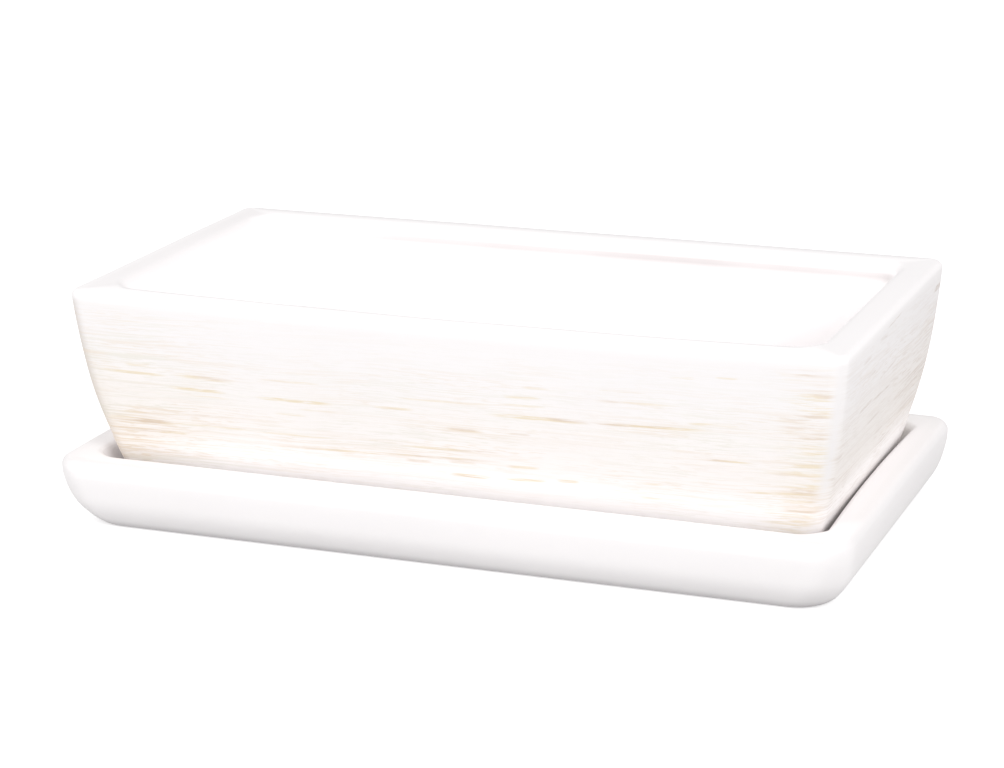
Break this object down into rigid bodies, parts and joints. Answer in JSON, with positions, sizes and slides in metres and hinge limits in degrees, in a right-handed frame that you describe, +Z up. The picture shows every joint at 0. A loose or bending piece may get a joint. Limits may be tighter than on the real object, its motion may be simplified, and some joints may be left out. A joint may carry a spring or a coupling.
{
  "type": "indoor herb planter",
  "caption": "Oblong glazed ceramic planter with tapered, softly swelling walls and a thick rounded rim, standing loose in a matching drip tray.",
  "frame": {"origin": "on the table, under the middle of the drip tray", "axes": "+X along the planter, +Y across it, +Z up"},
  "size_m": [0.259, 0.141, 0.0774],
  "materials": {
    "brushed_glaze": "satin white glaze with fine brushed ochre streaks",
    "plain_glaze": "plain satin white glaze"
  },
  "bodies": {
    "tray": {"drip_tray": "plain_glaze"},
    "pot": {"planter_pot": "brushed_glaze"}
  },
  "joints": [
    {"name": "pot_lift", "type": "slide", "parent": "tray", "child": "pot", "axis": [0, 0, 1], "range_m": [0, 0.12]}
  ]
}
